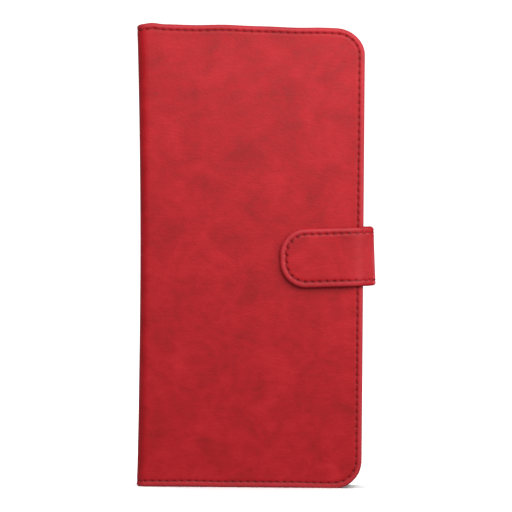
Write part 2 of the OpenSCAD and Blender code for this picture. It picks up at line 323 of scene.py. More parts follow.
class Border:
    """A strip's sewn sides: along the top, round the far end and back along the bottom.

    Distances along it are those of a row of stitches at the seam's inset."""

    def __init__(self, length, low, high, corner):
        self.length = length
        self.low = low
        self.high = high
        self.corner = corner
        self.straight = length - corner
        self.row_r = corner - bpy.context.scene.wallet_seam.inset
        self.arc = self.row_r * math.pi / 2
        self.end = high - low - 2 * corner
        self.total = 2 * self.straight + 2 * self.arc + self.end

    def locate(self, run, z):
        """How far in from the edge, and how far along the row, a flat point is."""
        across = run - self.straight
        above = z - (self.high - self.corner)
        below = (self.low + self.corner) - z
        past = np.maximum(above, below)
        in_corner = (across > 0) & (past > 0)
        inset = np.minimum(np.minimum(self.high - z, z - self.low), self.length - run)
        inset = np.where(in_corner, self.corner - np.hypot(across, past), inset)
        upper = above > below
        turned = np.arctan2(np.maximum(across, 0), np.maximum(past, 1e-9))
        half_way = self.straight + self.arc + self.end / 2
        from_top = np.where(
            in_corner,
            self.straight + self.row_r * turned,
            np.where(across > 0, self.straight + self.arc + self.high - self.corner - z, run))
        mirrored = np.where(
            in_corner,
            self.straight + self.row_r * turned,
            np.where(across > 0, self.straight + self.arc + z - self.low - self.corner, run))
        along = np.where(upper, np.minimum(from_top, half_way), self.total - np.minimum(mirrored, half_way))
        return inset, along

    def point(self, along, inset):
        """The flat point at a distance along the row and in from the edge."""
        lower = along > self.total / 2
        s = np.where(lower, self.total - along, along)
        turn = np.clip((s - self.straight) / self.row_r, 0, math.pi / 2)
        down = np.maximum(s - self.straight - self.arc, 0)
        r = self.corner - inset
        run = np.minimum(s, self.straight) + r * np.sin(turn)
        from_edge = self.corner - r * np.cos(turn) + down
        return run, np.where(lower, self.low + from_edge, self.high - from_edge)


def rounded_side(start, along, out, length, first_r, last_r, count):
    """Points and outward normals on one side of a rounded rectangle, from mid-corner to mid-corner."""
    eighth = math.pi / 4
    straight = length - first_r - last_r
    s = np.linspace(-first_r * eighth, straight + last_r * eighth, count + 1)
    turn = np.where(s < 0, s / max(first_r, 1e-9), np.maximum(s - straight, 0) / max(last_r, 1e-9))
    radius = np.where(s < 0, first_r, last_r)
    normal = np.outer(np.cos(turn), out) + np.outer(np.sin(turn), along)
    run = first_r + np.clip(s, 0, straight)
    points = np.array(start) + np.outer(run, along) + radius[:, None] * (normal - np.array(out))
    return points, normal


def quads(first, second):
    """Faces between two rows of vertex numbers of the same length."""
    return [(a, b, d, c) for a, b, c, d in zip(first, first[1:], second, second[1:])]


def halving(fine, coarse):
    """Faces from a row of vertex numbers to one with half as many steps."""
    faces = []
    for i in range(len(coarse) - 1):
        a, b, c = fine[2 * i:2 * i + 3]
        faces += [(a, b, coarse[i]), (b, coarse[i + 1], coarse[i]), (b, c, coarse[i + 1])]
    return faces


def ringed_sheet(low, high, radii, rows, step, closed):
    """A rectangle in the flat, with close rows round its edge and a coarser grid inside them.

    radii are the corners' at top right, bottom right, bottom left and top left. rows hold how far in each row
    lies. With closed off, the left side is a plain cut. Gives flat points, the row of each and faces."""
    (x0, z0), (x1, z1) = low, high
    top_r, foot_r, foot_l, top_l = radii
    across = COARSE * max(2, round((x1 - x0) / step / COARSE))
    upright = COARSE * max(2, round((z1 - z0) / step / COARSE))
    sides = [
        rounded_side((x0, z1), (1, 0), (0, 1), x1 - x0, top_l, top_r, across),
        rounded_side((x1, z1), (0, -1), (1, 0), z1 - z0, top_r, foot_r, upright),
        rounded_side((x1, z0), (-1, 0), (0, -1), x1 - x0, foot_r, foot_l, across),
    ]
    if closed:
        sides.append(rounded_side((x0, z0), (0, 1), (-1, 0), z1 - z0, foot_l, top_l, upright))
    ends = [] if closed else [sides[-1]]
    edge = np.concatenate([p[:-1] for p, _ in sides] + [p[-1:] for p, _ in ends])
    out = np.concatenate([n[:-1] for _, n in sides] + [n[-1:] for _, n in ends])
    points = []
    row_of = []
    faces = []
    loops = []
    for k, inset in enumerate(rows):
        keep = {len(rows) - 2: COARSE // 2, len(rows) - 1: COARSE}.get(k, 1)
        numbers = list(range(len(points), len(points) + len(edge[::keep])))
        points += list((edge - out * inset)[::keep])
        row_of += [k] * len(numbers)
        loops.append(numbers + numbers[:1] if closed else numbers)
    for k in range(len(rows) - 1):
        same = len(loops[k]) == len(loops[k + 1])
        faces += quads(loops[k], loops[k + 1]) if same else halving(loops[k], loops[k + 1])
    last = loops[-1]
    nu, nv = across // COARSE, upright // COARSE
    top = last[:nu + 1]
    right = last[nu:nu + nv + 1]
    bottom = last[nu + nv:2 * nu + nv + 1][::-1]
    if closed:
        left = last[2 * nu + nv:][::-1]
    else:
        left = [top[0]] + list(range(len(points), len(points) + nv - 1)) + [bottom[0]]
        for j in range(1, nv):
            t = j / nv
            points.append(points[top[0]] * (1 - t) + points[bottom[0]] * t)
            row_of.append(len(rows) - 1)
    grid = [top] + [[left[j]] + [None] * (nu - 1) + [right[j]] for j in range(1, nv)] + [bottom]
    at = [points[top[0]], points[top[-1]], points[bottom[0]], points[bottom[-1]]]
    for j in range(1, nv):
        v = j / nv
        for i in range(1, nu):
            u = i / nu
            p = (1 - v) * points[top[i]] + v * points[bottom[i]]
            p = p + (1 - u) * points[left[j]] + u * points[right[j]]
            p = p - (1 - v) * ((1 - u) * at[0] + u * at[1]) - v * ((1 - u) * at[2] + u * at[3])
            grid[j][i] = len(points)
            points.append(p)
            row_of.append(len(rows) - 1)
    for upper, lower in zip(grid, grid[1:]):
        faces += quads(upper, lower)
    return np.array(points), np.array(row_of), faces


def edge_rows(rim, beyond):
    """Rows of a turned edge: the hem on the inside, the round of the edge, and then the outer face.

    Gives how far in each row lies, and its level, from 0 on the outer face to 1 on the inner one."""
    steps = 8
    inset = [rim + HEM, rim + 0.8 * HEM, rim + HEM / 3]
    level = [0.84, 0.96, 1.0]
    for k in range(steps + 1):
        turn = math.pi * (1 - k / steps)
        inset.append(rim * (1 - math.sin(turn)))
        level.append((1 - math.cos(turn)) / 2)
    inset += [r * MM for r in beyond]
    level += [0.0] * len(beyond)
    return inset, np.array(level)


def show(name, mesh):
    """Puts a mesh into the scene as an object."""
    made = bpy.data.objects.new(name, mesh)
    bpy.context.scene.collection.objects.link(made)
    return made


def piece_of(name, mesh, material, sharp_angle=FOLD_ANGLE):
    """A piece of the case from a mesh, shaded smooth except at its sharp edges."""
    mesh.shade_smooth()
    mesh.materials.append(material)
    sharpen(mesh, sharp_angle)
    piece = show(name, mesh)
    return piece


def mesh_of(name, points, faces):
    """A closed mesh from points and faces, with its faces turned outwards."""
    mesh = bpy.data.meshes.new(name)
    mesh.from_pydata([tuple(p) for p in points], [], faces)
    bm = bmesh.new()
    bm.from_mesh(mesh)
    bmesh.ops.recalc_face_normals(bm, faces=bm.faces[:])
    bm.to_mesh(mesh)
    bm.free()
    return mesh


def sharpen(mesh, angle):
    """Marks a mesh's edges sharp where its faces meet at more than an angle in degrees."""
    bm = bmesh.new()
    bm.from_mesh(mesh)
    for edge in bm.edges:
        edge.smooth = not (edge.is_manifold and edge.calc_face_angle(0) > math.radians(angle))
    bm.to_mesh(mesh)
    bm.free()


def keep_vectors(mesh, name, values):
    """Stores a vector for each of a mesh's points, for its material to read."""
    layer = mesh.attributes.get(name) or mesh.attributes.new(name, "FLOAT_VECTOR", "POINT")
    layer.data.foreach_set("vector", np.asarray(values, np.float32).ravel())


def thicken(bm, thickness):
    """Closes a sheet into a solid, with a second layer behind it and a rim between the two."""
    bm.normal_update()
    back = {vert: bm.verts.new(vert.co - vert.normal * thickness) for vert in list(bm.verts)}
    rim = [edge.link_loops[0] for edge in bm.edges if edge.is_boundary]
    for face in list(bm.faces):
        bm.faces.new([back[vert] for vert in reversed(face.verts)])
    for loop in rim:
        a, b = loop.vert, loop.link_loop_next.vert
        bm.faces.new((b, a, back[a], back[b]))


def solid_sheet(name, points, faces, thickness, outward, material):
    """A closed solid from a sheet's points, given a thickness on its hidden side."""
    bm = bmesh.new()
    made = [bm.verts.new(p) for p in points]
    for face in faces:
        bm.faces.new([made[i] for i in face])
    bm.normal_update()
    if sum(f.normal.dot(outward(f.calc_center_median())) * f.calc_area() for f in bm.faces) < 0:
        bmesh.ops.reverse_faces(bm, faces=bm.faces[:])
    thicken(bm, thickness)
    mesh = bpy.data.meshes.new(name)
    bm.to_mesh(mesh)
    bm.free()
    return piece_of(name, mesh, material)


def outward_of(fold):
    """Which way a fold's outer face looks at a point."""
    middle = Vector((fold.outer_x + fold.hand * 30 * MM, fold.middle_y, 0))

    def outward(point):
        if fold.hand * (point.x - fold.outer_x) > fold.radius:
            return Vector((0, fold.side, 0))
        away = point - middle
        return Vector((-fold.hand, 0.3 * fold.side * (1 if away.y * fold.side > 0 else -1), 0))

    return outward


def seam_relief(inset, along, pitch, row, hole):
    """How far in the leather is drawn, and how much of that is a needle hole.

    There is a trough along the row, deeper at each hole, and the leather puffs up beside it."""
    trough = 0.06 * MM * hill(inset, row, 0.5 * MM) + 0.12 * MM * hill(inset, row, 0.24 * MM)
    phase = np.abs((along / pitch + 0.5) % 1 - 0.5) * pitch
    at_hole = hill(phase, 0, hole) * hill(inset, row, hole)
    puff = 0.04 * MM * hill(inset, row - 1.05 * MM, 0.5 * MM)
    puff += 0.03 * MM * hill(inset, row + 1.2 * MM, 0.6 * MM)
    return trough + 0.3 * MM * at_hole - puff, at_hole


def stitch_pitch(border, pitch):
    """The pitch nearest the one asked for that fits a border's row."""
    return border.total / round(border.total / pitch)


def flat_marks(mesh, fold, hole):
    """Stores where each point of a leather piece is on the flat leather, and its marks.

    The marks are painted shade along the row of stitches, painted shade in the needle holes, and how far the
    finish is lightened at the edges and over the strap's bend, partly as a stretched finish goes lighter and
    partly as a painted highlight."""
    row = bpy.context.scene.wallet_seam.inset
    co = np.zeros(len(mesh.vertices) * 3)
    mesh.vertices.foreach_get("co", co)
    x, y, z = co.reshape(-1, 3).T
    face_in = fold.half + fold.radius
    across = (y - fold.middle_y) * fold.side
    inward = (x - fold.outer_x) * fold.hand
    turn = np.arctan2(np.maximum(across - fold.half, 0), np.maximum(fold.radius - inward, 1e-6))
    run = np.where(
        inward > fold.radius, fold.flat_from + inward - fold.radius,
        np.where(across > fold.half, fold.half + fold.radius * np.clip(turn, 0, math.pi / 2), across))
    depth = np.where(inward > fold.radius, face_in - across, np.minimum(inward, face_in - across))
    z = z + fold.drop(run, z)
    inset, along = fold.border.locate(run, z)
    pitch = stitch_pitch(fold.border, bpy.context.scene.wallet_seam.pitch)
    _, at_hole = seam_relief(inset, along, pitch, row, hole)
    outer = 1 - smooth(depth, 0.7 * MM, 1.2 * MM)
    # Painted shade: a darker line along the row of stitches, where the seam's trough lies.
    seam_shade = hill(inset, row, 0.3 * MM) * outer
    # Lightened in a band along the edges and over the strap's bend: partly a stretched finish going lighter,
    # partly a painted highlight.
    pulled_and_highlight = np.maximum(0.25 * (1 - smooth(inset, 1.0 * MM, 1.8 * MM)), fold.pull(run)) * outer
    keep_vectors(mesh, "flat", np.stack([run * fold.side, z, depth], axis=1))
    # The second mark paints shade in the needle holes.
    keep_vectors(mesh, "marks", np.stack([seam_shade, at_hole * outer, pulled_and_highlight], axis=1))


def leather_sheet(name, fold, step, hole, swell):
    """The leather of one half of the cover or strap, with its edges turned over to the inside.

    swell(run, z) is how far its face stands out."""
    leather = bpy.context.scene.wallet_leather
    seam = bpy.context.scene.wallet_seam
    border = fold.border
    insets, levels = edge_rows(
        leather.rim, (1.5, 1.75, 1.9, 2.0, 2.1, 2.2, 2.3, 2.45, 2.7, 3.0, 3.4, 3.8))
    flat, row_of, faces = ringed_sheet(
        (0, border.low), (border.length, border.high), (border.corner, border.corner, 0, 0),
        insets, step, closed=False)
    run, z = flat.T
    run = fold.crowd(run, step)
    level = levels[row_of]
    inset, along = border.locate(run, z)
    pitch = stitch_pitch(border, seam.pitch)
    relief, _ = seam_relief(inset, along, pitch, seam.inset, hole)
    on_face = smooth(level, 0.5, 0.0)
    depth = level * fold.inner(run) + on_face * (relief - swell(run, z))
    points = fold.place(run, depth, z)
    piece = solid_sheet(
        name, points, faces, leather.sheet, outward_of(fold), leather_finish())
    flat_marks(piece.data, fold, hole)
    return piece


def lining_sheet(name, fold, step):
    """The lining of one half of the cover or strap, laid just inside the leather's turned edge."""
    border = fold.border
    start_inset = bpy.context.scene.wallet_leather.rim + 0.2 * MM
    insets = [start_inset + d * MM for d in (0.12, 0.02, 0.0, 0.06, 0.2, 0.5, 1.0, 1.8)]
    drops = np.array([0.32, 0.26, 0.16, 0.06, 0.0, -0.02, -0.04, -0.04]) * MM
    flat, row_of, faces = ringed_sheet(
        (0, border.low), (border.length, border.high), (border.corner, border.corner, 0, 0),
        insets, step, closed=False)
    run, z = flat.T
    run = fold.crowd(run, step)
    points = fold.place(run, fold.inner(run) - drops[row_of], z)
    outward = outward_of(fold)
    piece = solid_sheet(name, points, faces, LINING_T, lambda p: -outward(p), microfibre_cloth())
    keep_vectors(piece.data, "flat", np.array([v.co for v in piece.data.vertices]))
    return piece


def stitches(name, place, pitch, count, up, dive, seed):
    """A row of twisted-thread stitches, as place(along, aside, height) lays it on the leather.

    up is the height of a stitch's middle, and dive how far its ends go down into their holes."""
    seam = bpy.context.scene.wallet_seam
    rng = np.random.default_rng(seed)
    rings, around, plies = 13, 12, 3
    t = np.linspace(0, 1, rings)[None, :, None]
    angle = np.linspace(0, 2 * math.pi, around, endpoint=False)[None, None, :]
    number = np.arange(count)[:, None, None]
    gap = 0.13 * pitch
    along = number * pitch + gap + t * (pitch - 2 * gap)
    lean = seam.slant * (t - 0.5) + 0.05 * MM * rng.standard_normal((count, 1, 1))
    ends = np.abs(2 * t - 1) ** 3
    radius = seam.thread / 2 * (1 + 0.1 * np.cos(plies * angle - 9 * along / pitch)) * (1 - 0.45 * ends ** 3)
    aside = lean + radius * np.cos(angle)
    height = up - dive * ends + radius * np.sin(angle)
    along, aside, height = np.broadcast_arrays(along, aside, height)
    points = place(along.ravel(), aside.ravel(), height.ravel())
    faces = []
    for i in range(count):
        base = i * rings * around
        for k in range(rings - 1):
            for j in range(around):
                a = base + k * around + j
                b = base + k * around + (j + 1) % around
                faces.append((a, b, b + around, a + around))
        faces.append(tuple(range(base, base + around))[::-1])
        faces.append(tuple(range(base + (rings - 1) * around, base + rings * around)))
    piece = piece_of(name, mesh_of(name, points, faces), bonded_thread())
    keep_vectors(piece.data, "flat", np.stack([along.ravel(), aside.ravel(), height.ravel()], axis=1))
    return piece


def border_stitches(name, fold, surface, up, dive, seed, facing=1):
    """Stitches along a fold's border, on the outer face or, with facing -1, on the inner one.

    surface(run, z) is the depth of what they lie on."""
    seam = bpy.context.scene.wallet_seam
    pitch = stitch_pitch(fold.border, seam.pitch)
    count = round(fold.border.total / pitch)

    def place(along, aside, height):
        run, z = fold.border.point(along, seam.inset + aside)
        return fold.place(run, surface(run, z) - facing * height, z)

    return stitches(name, place, pitch, count, up, dive, seed)


# ---- Materials ----

def node(tree, kind, inputs, output=0, stops=(), **settings):
    """Adds a shader node with its settings, inputs, links and colour stops, and gives one of its outputs."""
    made = tree.nodes.new(kind)
    for name, value in settings.items():
        setattr(made, name, value)
    for key, value in inputs.items():
        if isinstance(value, bpy.types.NodeSocket):
            tree.links.new(value, made.inputs[key])
        else:
            made.inputs[key].default_value = value
    for k, (place, rgb) in enumerate(stops):
        stop = made.color_ramp.elements[k] if k < 2 else made.color_ramp.elements.new(1)
        stop.position = place
        stop.color = opaque(rgb)
    return made.outputs[output]


def material_of(name, build):
    """A material with a Principled shader that build(tree, shader) fills in."""
    material = bpy.data.materials.get(name)
    if material:
        return material
    material = bpy.data.materials.new(name)
    material.use_nodes = True
    tree = material.node_tree
    build(tree, tree.nodes["Principled BSDF"])
    return material


def opaque(rgb):
    """A colour with nothing seen through it."""
    return (*rgb, 1.0)


def shade(rgb, factor):
    """A colour made lighter or darker."""
    return [c * factor for c in rgb]


def flat_place(tree, *sizes):
    """A piece's place on its flat sheet, where one unit is the given sizes in metres."""
    place = node(tree, "ShaderNodeAttribute", {}, "Vector", attribute_name="flat")
    return node(tree, "ShaderNodeMapping", {"Vector": place, "Scale": [1 / size for size in sizes]})


def solid_place(tree, size):
    """A piece's place in space, where one unit is size metres."""
    place = node(tree, "ShaderNodeTexCoord", {}, "Object")
    return node(tree, "ShaderNodeMapping", {"Vector": place, "Scale": [1 / size] * 3})


def pull_up_leather(tree, shader):
    """PU leather with a waxy finish that goes lighter where stretched, embossed: soft clouds, fine pebbles
    and hairline creases. Its colour also carries painted shade along the seams, the pockets' creases and in
    the needle holes, and a painted highlight at the edges, the strap's bend and the pockets' mouths, partly a
    stretched finish going lighter.
    """
    s = bpy.context.scene.wallet_leather
    clouds = node(tree, "ShaderNodeTexNoise", {
        "Vector": flat_place(tree, s.cloud, s.cloud, s.cloud), "Scale": 1.0, "Detail": 5.0, "Roughness": 0.62,
        "Distortion": 0.5})
    blots = node(tree, "ShaderNodeTexNoise", {
        "Vector": flat_place(tree, 4.2 * MM, 3.4 * MM, 4 * MM), "Scale": 1.0, "Detail": 4.0, "Roughness": 0.6,
        "Distortion": 0.3})
    brushed = node(tree, "ShaderNodeTexNoise", {
        "Vector": flat_place(tree, 9 * MM, 0.8 * MM, 4 * MM), "Scale": 1.0, "Detail": 3.0, "Roughness": 0.6})
    tone = node(tree, "ShaderNodeMath", {0: brushed, 1: 0.12, 2: 0.0}, operation="MULTIPLY_ADD")
    tone = node(tree, "ShaderNodeMath", {0: blots, 1: 0.26, 2: tone}, operation="MULTIPLY_ADD")
    tone = node(tree, "ShaderNodeMath", {0: clouds, 1: 0.62, 2: tone}, operation="MULTIPLY_ADD")
    hide_shade_and_highlight = node(tree, "ShaderNodeValToRGB", {"Fac": tone}, stops=[
        (0.36, s.dark), (0.5, s.base), (0.66, s.light)])
    marks = node(tree, "ShaderNodeAttribute", {}, "Vector", attribute_name="marks")
    seam_shade = node(tree, "ShaderNodeSeparateXYZ", {"Vector": marks}, "X")
    hole = node(tree, "ShaderNodeSeparateXYZ", {"Vector": marks}, "Y")
    pull = node(tree, "ShaderNodeSeparateXYZ", {"Vector": marks}, "Z")
    seam_shade = node(tree, "ShaderNodeMath", {0: seam_shade, 1: 0.4}, operation="MULTIPLY")
    hole = node(tree, "ShaderNodeMath", {0: hole, 1: 1.4}, operation="MULTIPLY", use_clamp=True)
    # Painted light mixed into the colour: a highlight at the edges, the strap's bend and the pockets' mouths
    # (partly a stretched finish going lighter), shade along the rows of stitches and the pockets' creases,
    # and shade in the needle holes.
    for share, code in ((pull, s.pulled_and_highlight), (seam_shade, s.dark), (hole, s.seam_shade)):
        hide_shade_and_highlight = node(tree, "ShaderNodeMix", {"Factor": share, 6: hide_shade_and_highlight, 7: opaque(code)}, 2, data_type="RGBA")
    pebbles = node(tree, "ShaderNodeTexVoronoi", {
        "Vector": flat_place(tree, s.pebble, s.pebble, s.pebble), "Scale": 1.0, "Randomness": 1.0},
        "Distance", feature="SMOOTH_F1")
    fine = node(tree, "ShaderNodeTexNoise", {
        "Vector": flat_place(tree, 0.35 * MM, 0.35 * MM, 0.35 * MM), "Scale": 1.0, "Detail": 3.0,
        "Roughness": 0.6})
    hairline = node(tree, "ShaderNodeTexVoronoi", {
        "Vector": flat_place(tree, 6.5 * MM, 1.5 * MM, 6 * MM), "Scale": 1.0, "Randomness": 1.0},
        "Distance", feature="DISTANCE_TO_EDGE")
    crease = node(
        tree, "ShaderNodeMath", {0: hairline, 1: -14.0, 2: 1.0}, operation="MULTIPLY_ADD", use_clamp=True)
    where = node(tree, "ShaderNodeMath", {0: clouds, 1: blots}, operation="MULTIPLY")
    crease = node(tree, "ShaderNodeMath", {0: crease, 1: where}, operation="MULTIPLY")
    height = node(tree, "ShaderNodeMath", {0: fine, 1: 0.5, 2: 0.0}, operation="MULTIPLY_ADD")
    height = node(tree, "ShaderNodeMath", {0: pebbles, 1: -0.9, 2: height}, operation="MULTIPLY_ADD")
    height = node(tree, "ShaderNodeMath", {0: crease, 1: -0.8, 2: height}, operation="MULTIPLY_ADD")
    bump = node(tree, "ShaderNodeBump", {"Height": height, "Strength": 0.42, "Distance": 0.09 * MM})
    rough = node(tree, "ShaderNodeMath", {0: blots, 1: 0.22, 2: 0.4}, operation="MULTIPLY_ADD")
    tree.links.new(hide_shade_and_highlight, shader.inputs["Base Color"])
    tree.links.new(rough, shader.inputs["Roughness"])
    tree.links.new(bump, shader.inputs["Normal"])
    shader.inputs["IOR"].default_value = 1.48
    shader.inputs["Specular IOR Level"].default_value = 0.32


def microfibre(tree, shader):
    """Microfibre lining, sueded: matt, with a soft nap that lightens at grazing angles."""
    s = bpy.context.scene.wallet_leather
    nap = node(tree, "ShaderNodeTexNoise", {
        "Vector": flat_place(tree, 2.4 * MM, 2.4 * MM, 2.4 * MM), "Scale": 1.0, "Detail": 5.0,
        "Roughness": 0.7, "Distortion": 0.4})
    fibre = node(tree, "ShaderNodeTexNoise", {
        "Vector": flat_place(tree, 0.3 * MM, 0.3 * MM, 0.3 * MM), "Scale": 1.0, "Detail": 3.0,
        "Roughness": 0.7})
    tone = node(tree, "ShaderNodeMath", {0: fibre, 1: 0.4, 2: 0.0}, operation="MULTIPLY_ADD")
    tone = node(tree, "ShaderNodeMath", {0: nap, 1: 0.6, 2: tone}, operation="MULTIPLY_ADD")
    cloth = node(tree, "ShaderNodeValToRGB", {"Fac": tone}, stops=[
        (0.32, shade(s.lining, 0.72)), (0.5, s.lining), (0.68, shade(s.lining, 1.22))])
    bump = node(tree, "ShaderNodeBump", {"Height": fibre, "Strength": 0.35, "Distance": 0.08 * MM})
    tree.links.new(cloth, shader.inputs["Base Color"])
    tree.links.new(bump, shader.inputs["Normal"])
    shader.inputs["Roughness"].default_value = 0.86
    shader.inputs["Sheen Weight"].default_value = 0.35
    shader.inputs["Sheen Roughness"].default_value = 0.4
    shader.inputs["Sheen Tint"].default_value = opaque(linear("#E08A8C"))


def polyester_thread(tree, shader):
    """Bonded polyester thread, twisted from three plies: a faint satin line along each ply."""
    s = bpy.context.scene.wallet_seam
    fibres = node(tree, "ShaderNodeTexNoise", {
        "Vector": flat_place(tree, 0.5 * MM, 0.12 * MM, 0.12 * MM), "Scale": 1.0, "Detail": 3.0,
        "Roughness": 0.6})
    plies = node(tree, "ShaderNodeValToRGB", {"Fac": fibres}, stops=[
        (0.3, shade(s.thread_colour, 0.6)), (0.7, shade(s.thread_colour, 1.35))])
    bump = node(tree, "ShaderNodeBump", {"Height": fibres, "Strength": 0.4, "Distance": 0.05 * MM})
    tree.links.new(plies, shader.inputs["Base Color"])
    tree.links.new(bump, shader.inputs["Normal"])
    shader.inputs["Roughness"].default_value = 0.5
    shader.inputs["Specular IOR Level"].default_value = 0.3


def moulded_tpu(tree, shader):
    """TPU, moulded in a spark-eroded tool: black, softly satin, with faint flow and a fine texture."""
    base = bpy.context.scene.wallet_leather.tray
    flow = node(tree, "ShaderNodeTexNoise", {
        "Vector": solid_place(tree, 9 * MM), "Scale": 1.0, "Detail": 3.0, "Roughness": 0.5})
    spark = node(tree, "ShaderNodeTexNoise", {
        "Vector": solid_place(tree, 0.25 * MM), "Scale": 1.0, "Detail": 2.0, "Roughness": 0.6})
    tone = node(tree, "ShaderNodeValToRGB", {"Fac": flow}, stops=[
        (0.35, shade(base, 0.85)), (0.65, shade(base, 1.2))])
    bump = node(tree, "ShaderNodeBump", {"Height": spark, "Strength": 0.3, "Distance": 0.03 * MM})
    rough = node(tree, "ShaderNodeMath", {0: flow, 1: 0.12, 2: 0.36}, operation="MULTIPLY_ADD")
    tree.links.new(tone, shader.inputs["Base Color"])
    tree.links.new(bump, shader.inputs["Normal"])
    tree.links.new(rough, shader.inputs["Roughness"])
    shader.inputs["Specular IOR Level"].default_value = 0.25


def greyboard(tree, shader):
    """Greyboard, pressed: matt, with flecks of recycled fibre."""
    fleck = node(tree, "ShaderNodeTexNoise", {
        "Vector": solid_place(tree, 0.8 * MM), "Scale": 1.0, "Detail": 4.0, "Roughness": 0.7})
    tone = node(tree, "ShaderNodeValToRGB", {"Fac": fleck}, stops=[
        (0.35, linear("#5C5751")), (0.65, linear("#7F7A72"))])
    tree.links.new(tone, shader.inputs["Base Color"])
    shader.inputs["Roughness"].default_value = 0.9


def nickel_plate(tree, shader):
    """Steel, nickel plated in a barrel: bright, with a soft orange peel."""
    peel = node(tree, "ShaderNodeTexNoise", {
        "Vector": solid_place(tree, 0.9 * MM), "Scale": 1.0, "Detail": 2.0, "Roughness": 0.5})
    tone = node(tree, "ShaderNodeValToRGB", {"Fac": peel}, stops=[
        (0.3, linear("#B9B5AC")), (0.7, linear("#CFCBC2"))])
    rough = node(tree, "ShaderNodeMath", {0: peel, 1: 0.15, 2: 0.2}, operation="MULTIPLY_ADD")
    tree.links.new(tone, shader.inputs["Base Color"])
    tree.links.new(rough, shader.inputs["Roughness"])
    shader.inputs["Metallic"].default_value = 1.0


def studio_paper(tree, shader):
    """Studio paper, uncoated: pale and quite matt."""
    pale = bpy.context.scene.wallet_stage.floor_colour
    grain = node(tree, "ShaderNodeTexNoise", {
        "Vector": solid_place(tree, 1.5 * MM), "Scale": 1.0, "Detail": 2.0, "Roughness": 0.5})
    tone = node(tree, "ShaderNodeValToRGB", {"Fac": grain}, stops=[
        (0.3, shade(pale, 0.985)), (0.7, pale)])
    tree.links.new(tone, shader.inputs["Base Color"])
    shader.inputs["Roughness"].default_value = 0.95
    shader.inputs["Specular IOR Level"].default_value = 0.1


def leather_finish():
    """The material of the skin, the strap and the pockets."""
    return material_of("PU leather, pull-up finish", pull_up_leather)


def microfibre_cloth():
    """The material of every lining."""
    return material_of("Microfibre lining, sueded", microfibre)


def bonded_thread():
    """The material of every stitch."""
    return material_of("Polyester thread, bonded", polyester_thread)


# ---- Folds that the pieces share ----

def front_fold():
    """The skin's fold from the spine to the front cover."""
    return CoverFold(-1, FRONT_Y, FRONT_HIGH.y - FRONT_Y)


def back_fold():
    """The skin's fold from the spine to the back cover."""
    return CoverFold(1, BACK_Y, BACK_Y - BACK_LOW.y)


def tab_fold():
    """The strap's fold from its bridge to its tab."""
    return StrapFold(-1, TAB_LOW.y, TAB_LOW.x + TAB_SHORT, TAB_END_R, TAB_SLOPE, pinch=0.0, lead=1.1 * MM)


def root_fold():
    """The strap's fold from its bridge to its root."""
    return StrapFold(1, ROOT_HIGH.y, FORE_X - ROOT_REACH, ROOT_END_R, 0.0, pinch=0.45, lead=0.0)


def blend_cover(piece, side):
    """Bakes a piece's placing into its mesh, for the front cover, side -1, or the back cover, side 1, alike
    on both sides."""
    if side < 0:
        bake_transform(piece)
    else:
        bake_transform(piece)


def blend_strap(piece, side):
    """Bakes a piece's placing into its mesh, for the strap's tab, side -1, or its root on the back cover,
    side 1, alike on both sides.
    """
    if side < 0:
        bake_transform(piece)
    else:
        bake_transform(piece)


def cover_swell(run, z):
    """The cover's face isn't quite flat over its board."""
    swell = np.sin(run / (13 * MM) + 0.6) * np.sin(z / (19 * MM) + 0.4)
    return 0.05 * MM * (swell + np.sin(z / (31 * MM) + run / (40 * MM)))


def still(run, z):
    """No swell at all."""
    return np.zeros(np.shape(run))


class WALLET_OT_cover_leather(bpy.types.Operator):
    """Makes the leather skin, in two halves that meet down the middle of the spine"""
    bl_idname = "wallet.cover_leather"
    bl_label = "Cover leather"

    def execute(self, context):
        front = leather_sheet("front_leather", front_fold(), 0.5 * MM, COVER_HOLE, cover_swell)
        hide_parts("front_skin", "spine_skin")
        back = leather_sheet("back_leather", back_fold(), 0.5 * MM, COVER_HOLE, cover_swell)
        cut_window(back, 0.2 * MM)
        flat_marks(back.data, back_fold(), COVER_HOLE)
        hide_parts("back_skin")
        blend_cover(front, -1)
        blend_cover(back, 1)
        front_fold()
        front_fold().thickness
        back_fold()
        back_fold().thickness
        return {"FINISHED"}


def camera_window():
    """The middle and half sizes of the tray's collar, from its faces above the tray's back."""
    co = np.array([v.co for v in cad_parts["phone_tray"].data.vertices])
    collar = co[co[:, 1] > BACK_LOW.y + 0.5 * MM]
    low, high = collar.min(0), collar.max(0)
    return (low + high) / 2, (high - low) / 2


def cut_window(piece, gap):
    """Cuts the camera window out of a piece of the back cover, gap clear of the tray's collar."""
    middle, half = camera_window()
    across, upright = half[0] + gap, half[2] + gap
    radius = WINDOW_R + gap
    side = 64
    turn = np.linspace(0, 2 * math.pi, side, endpoint=False) + math.pi / side
    x = middle[0] + np.sign(np.cos(turn)) * (across - radius) + radius * np.cos(turn)
    z = middle[2] + np.sign(np.sin(turn)) * (upright - radius) + radius * np.sin(turn)
    low_y, high_y = BACK_LOW.y - 3 * MM, BACK_Y + 3 * MM
    points = [(a, low_y, b) for a, b in zip(x, z)] + [(a, high_y, b) for a, b in zip(x, z)]
    faces = [(i, (i + 1) % side, side + (i + 1) % side, side + i) for i in range(side)]
    faces += [tuple(range(side))[::-1], tuple(range(side, 2 * side))]
    cutter = show("cutter", mesh_of("cutter", points, faces))
    cut = piece.modifiers.new("window", "BOOLEAN")
    cut.operation = "DIFFERENCE"
    cut.solver = "EXACT"
    cut.object = cutter
    graph = bpy.context.evaluated_depsgraph_get()
    made = bpy.data.meshes.new_from_object(piece.evaluated_get(graph))
    piece.modifiers.clear()
    piece.data = made
    bpy.data.objects.remove(cutter)
    sharpen(made, FOLD_ANGLE)


